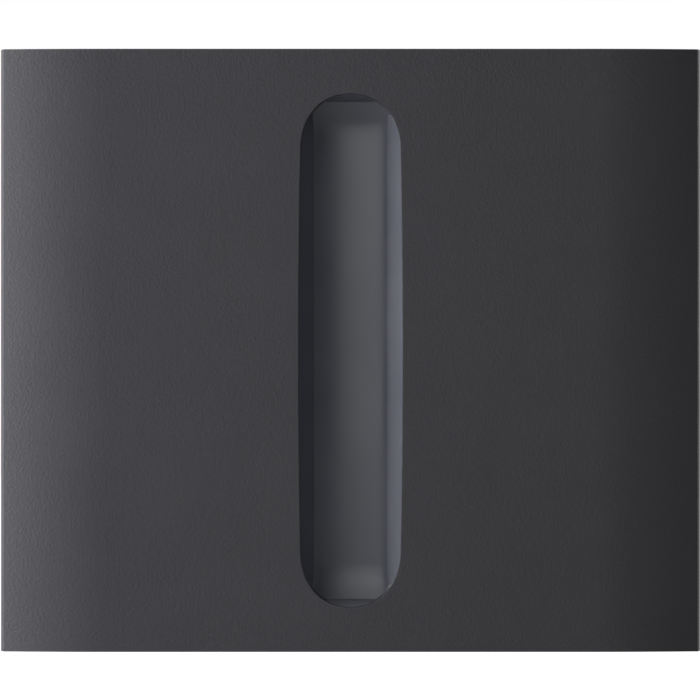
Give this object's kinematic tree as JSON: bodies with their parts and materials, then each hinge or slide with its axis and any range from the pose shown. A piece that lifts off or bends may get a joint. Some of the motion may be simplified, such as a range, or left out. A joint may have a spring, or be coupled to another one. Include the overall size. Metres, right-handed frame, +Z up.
{
  "type": "wall light switch section",
  "caption": "Middle section of an upright row of wall light switches: a grained rocking key with a smooth finger groove over a relay insert.",
  "frame": {"origin": "middle of the section on the wall's surface, midway between the two wall box screws", "axes": "+X to the right seen from the room, +Y into the wall, +Z up"},
  "size_m": [0.0822, 0.0433, 0.0706],
  "materials": {
    "graphite_grain": "moulded grain, charcoal grey",
    "graphite_smooth": "smooth satin, charcoal grey with a blue cast",
    "clear_plastic": "clear, polished",
    "black_plastic": "fine spark-eroded",
    "frame_plastic": "fine matt",
    "zinc_steel": "zinc plated",
    "bright_steel": "bright drawn",
    "circuit_board": "green solder mask on glass laminate",
    "lamp_resin": "white body with clear resin",
    "tin_plate": "tinned",
    "gold_plate": "flash gold",
    "white_plastic": "natural white",
    "orange_plastic": "orange",
    "grey_plastic": "light grey, fine matt",
    "dark_grey_plastic": "dark grey",
    "ferrite": "sintered, dull",
    "winding_tape": "yellow film tape",
    "yellow_plastic": "moulded box",
    "sleeve_blue": "shrink sleeve",
    "epoxy_blue": "dipped epoxy",
    "fuse_brown": "coated ceramic tube",
    "relay_plastic": "dark blue, moulded",
    "soft_iron": "nickel plated",
    "copper_wire": "enamelled",
    "contact_brass": "rolled"
  },
  "bodies": {
    "base": {"support_plate": "zinc_steel", "cover_frame": "frame_plastic", "tray": "black_plastic", "pivot_pins": "bright_steel", "control_board": "circuit_board", "status_lamps": "lamp_resin", "radio_shield": "tin_plate", "header": "black_plastic", "header_pins": "gold_plate", "switch_upper": "black_plastic", "switch_lower": "black_plastic", "switch_pairing": "black_plastic", "stem_spring_upper": "bright_steel", "stem_spring_lower": "bright_steel", "pairing_spring": "bright_steel", "front_shell": "grey_plastic", "rear_shell": "grey_plastic", "power_board": "circuit_board", "socket": "white_plastic", "transformer_core": "ferrite", "transformer_winding": "winding_tape", "film_capacitor": "yellow_plastic", "capacitor": "sleeve_blue", "varistor": "epoxy_blue", "fuse": "fuse_brown", "terminal_block": "dark_grey_plastic", "busbar_1": "contact_brass", "busbar_2": "contact_brass", "busbar_3": "contact_brass", "clamp_spring_1": "bright_steel", "clamp_spring_2": "bright_steel", "clamp_spring_3": "bright_steel", "relay_base": "black_plastic", "relay_cover": "relay_plastic", "relay_yoke": "soft_iron", "relay_bobbin": "white_plastic", "coil_winding": "copper_wire", "fixed_contact": "contact_brass", "insert_screws": "zinc_steel", "shell_screws": "zinc_steel"},
    "key": {"key_cover": "graphite_grain", "groove_insert": "graphite_smooth", "light_guide": "clear_plastic", "key_carrier": "black_plastic"},
    "stem_up": {"stem_upper": "white_plastic"},
    "stem_low": {"stem_lower": "white_plastic"},
    "pairing": {"pairing_button": "orange_plastic"},
    "release_1": {"release_lever_1": "orange_plastic"},
    "release_2": {"release_lever_2": "orange_plastic"},
    "release_3": {"release_lever_3": "orange_plastic"},
    "armature": {"relay_armature": "soft_iron", "moving_contact": "contact_brass"}
  },
  "joints": [
    {"name": "key_rock", "type": "hinge", "parent": "base", "child": "key", "pos_m": [0, -0.0052, 0], "axis": [1, 0, 0], "range_deg": [-1.5, 1.5], "stiffness_Nm_per_rad": 1.8},
    {"name": "stem_upper_slide", "type": "slide", "parent": "base", "child": "stem_up", "axis": [0, 1, 0], "range_m": [-0.00048, 0.00048], "deforming": ["stem_spring_upper"]},
    {"name": "stem_lower_slide", "type": "slide", "parent": "base", "child": "stem_low", "axis": [0, 1, 0], "range_m": [-0.00048, 0.00048], "deforming": ["stem_spring_lower"]},
    {"name": "pairing_slide", "type": "slide", "parent": "base", "child": "pairing", "axis": [0, 1, 0], "range_m": [0, 0.0004], "stiffness_N_per_m": 300, "springref_m": -0.001, "deforming": ["pairing_spring"]},
    {"name": "release_slide_1", "type": "slide", "parent": "base", "child": "release_1", "axis": [0, -1, 0], "range_m": [0, 0.0012], "stiffness_N_per_m": 800, "springref_m": -0.0005, "deforming": ["clamp_spring_1"]},
    {"name": "release_slide_2", "type": "slide", "parent": "base", "child": "release_2", "axis": [0, -1, 0], "range_m": [0, 0.0012], "stiffness_N_per_m": 800, "springref_m": -0.0005, "deforming": ["clamp_spring_2"]},
    {"name": "release_slide_3", "type": "slide", "parent": "base", "child": "release_3", "axis": [0, -1, 0], "range_m": [0, 0.0012], "stiffness_N_per_m": 800, "springref_m": -0.0005, "deforming": ["clamp_spring_3"]},
    {"name": "armature_hinge", "type": "hinge", "parent": "base", "child": "armature", "pos_m": [-0.0095, 0.02445, 0.01255], "axis": [-1, 0, 0], "range_deg": [0, 2.9], "stiffness_Nm_per_rad": 0.02, "springref_deg": -2.86}
  ],
  "couplings": [
    {"joint": "stem_upper_slide", "follows": "key_rock", "m_per_rad": -0.018},
    {"joint": "stem_lower_slide", "follows": "key_rock", "m_per_rad": 0.018}
  ]
}
